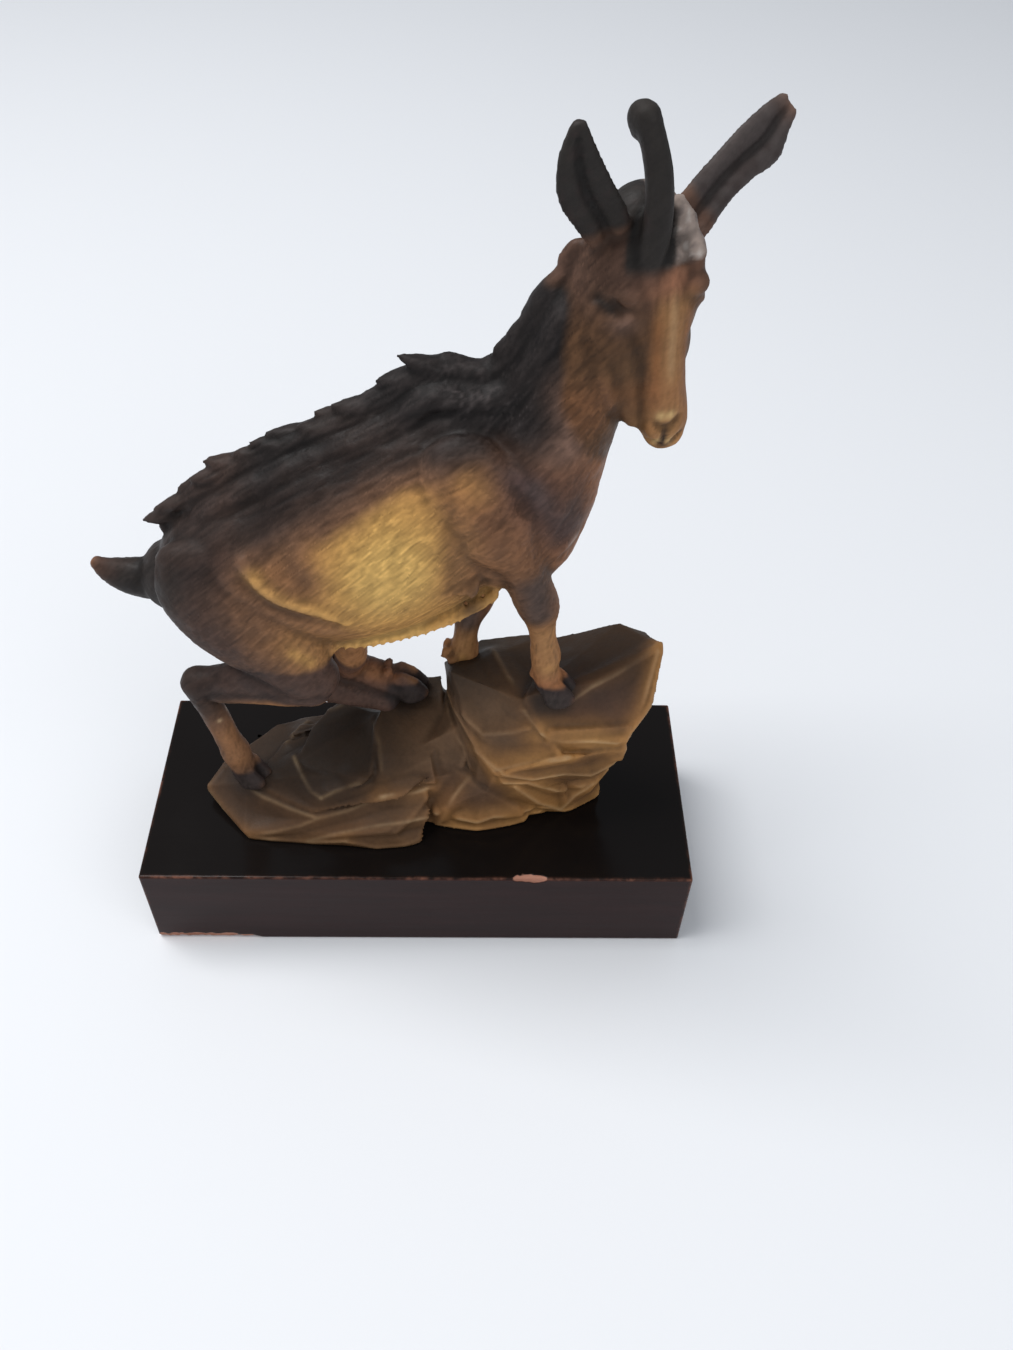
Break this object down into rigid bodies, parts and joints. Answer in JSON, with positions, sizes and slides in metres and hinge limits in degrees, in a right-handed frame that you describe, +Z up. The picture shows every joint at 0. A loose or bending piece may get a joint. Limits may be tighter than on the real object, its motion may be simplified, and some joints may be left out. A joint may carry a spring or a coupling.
{
  "type": "chamois figurine",
  "caption": "Cast resin chamois climbing a rock with its head turned, one hooked horn left, on a lacquered rectangular wooden plinth.",
  "frame": {"origin": "middle of the plinth's underside, the face it stands on", "axes": "+X along the plinth towards the animal's head, +Y from its right flank to its left, +Z up"},
  "size_m": [0.1203, 0.051, 0.1796],
  "materials": {
    "painted_resin": "semi-matt airbrushed paint over honey-coloured resin",
    "lacquered_wood": "glossy dark lacquer, worn at the edges"
  },
  "bodies": {
    "root": {"chamois_on_rock": "painted_resin", "plinth": "lacquered_wood"}
  },
  "joints": []
}
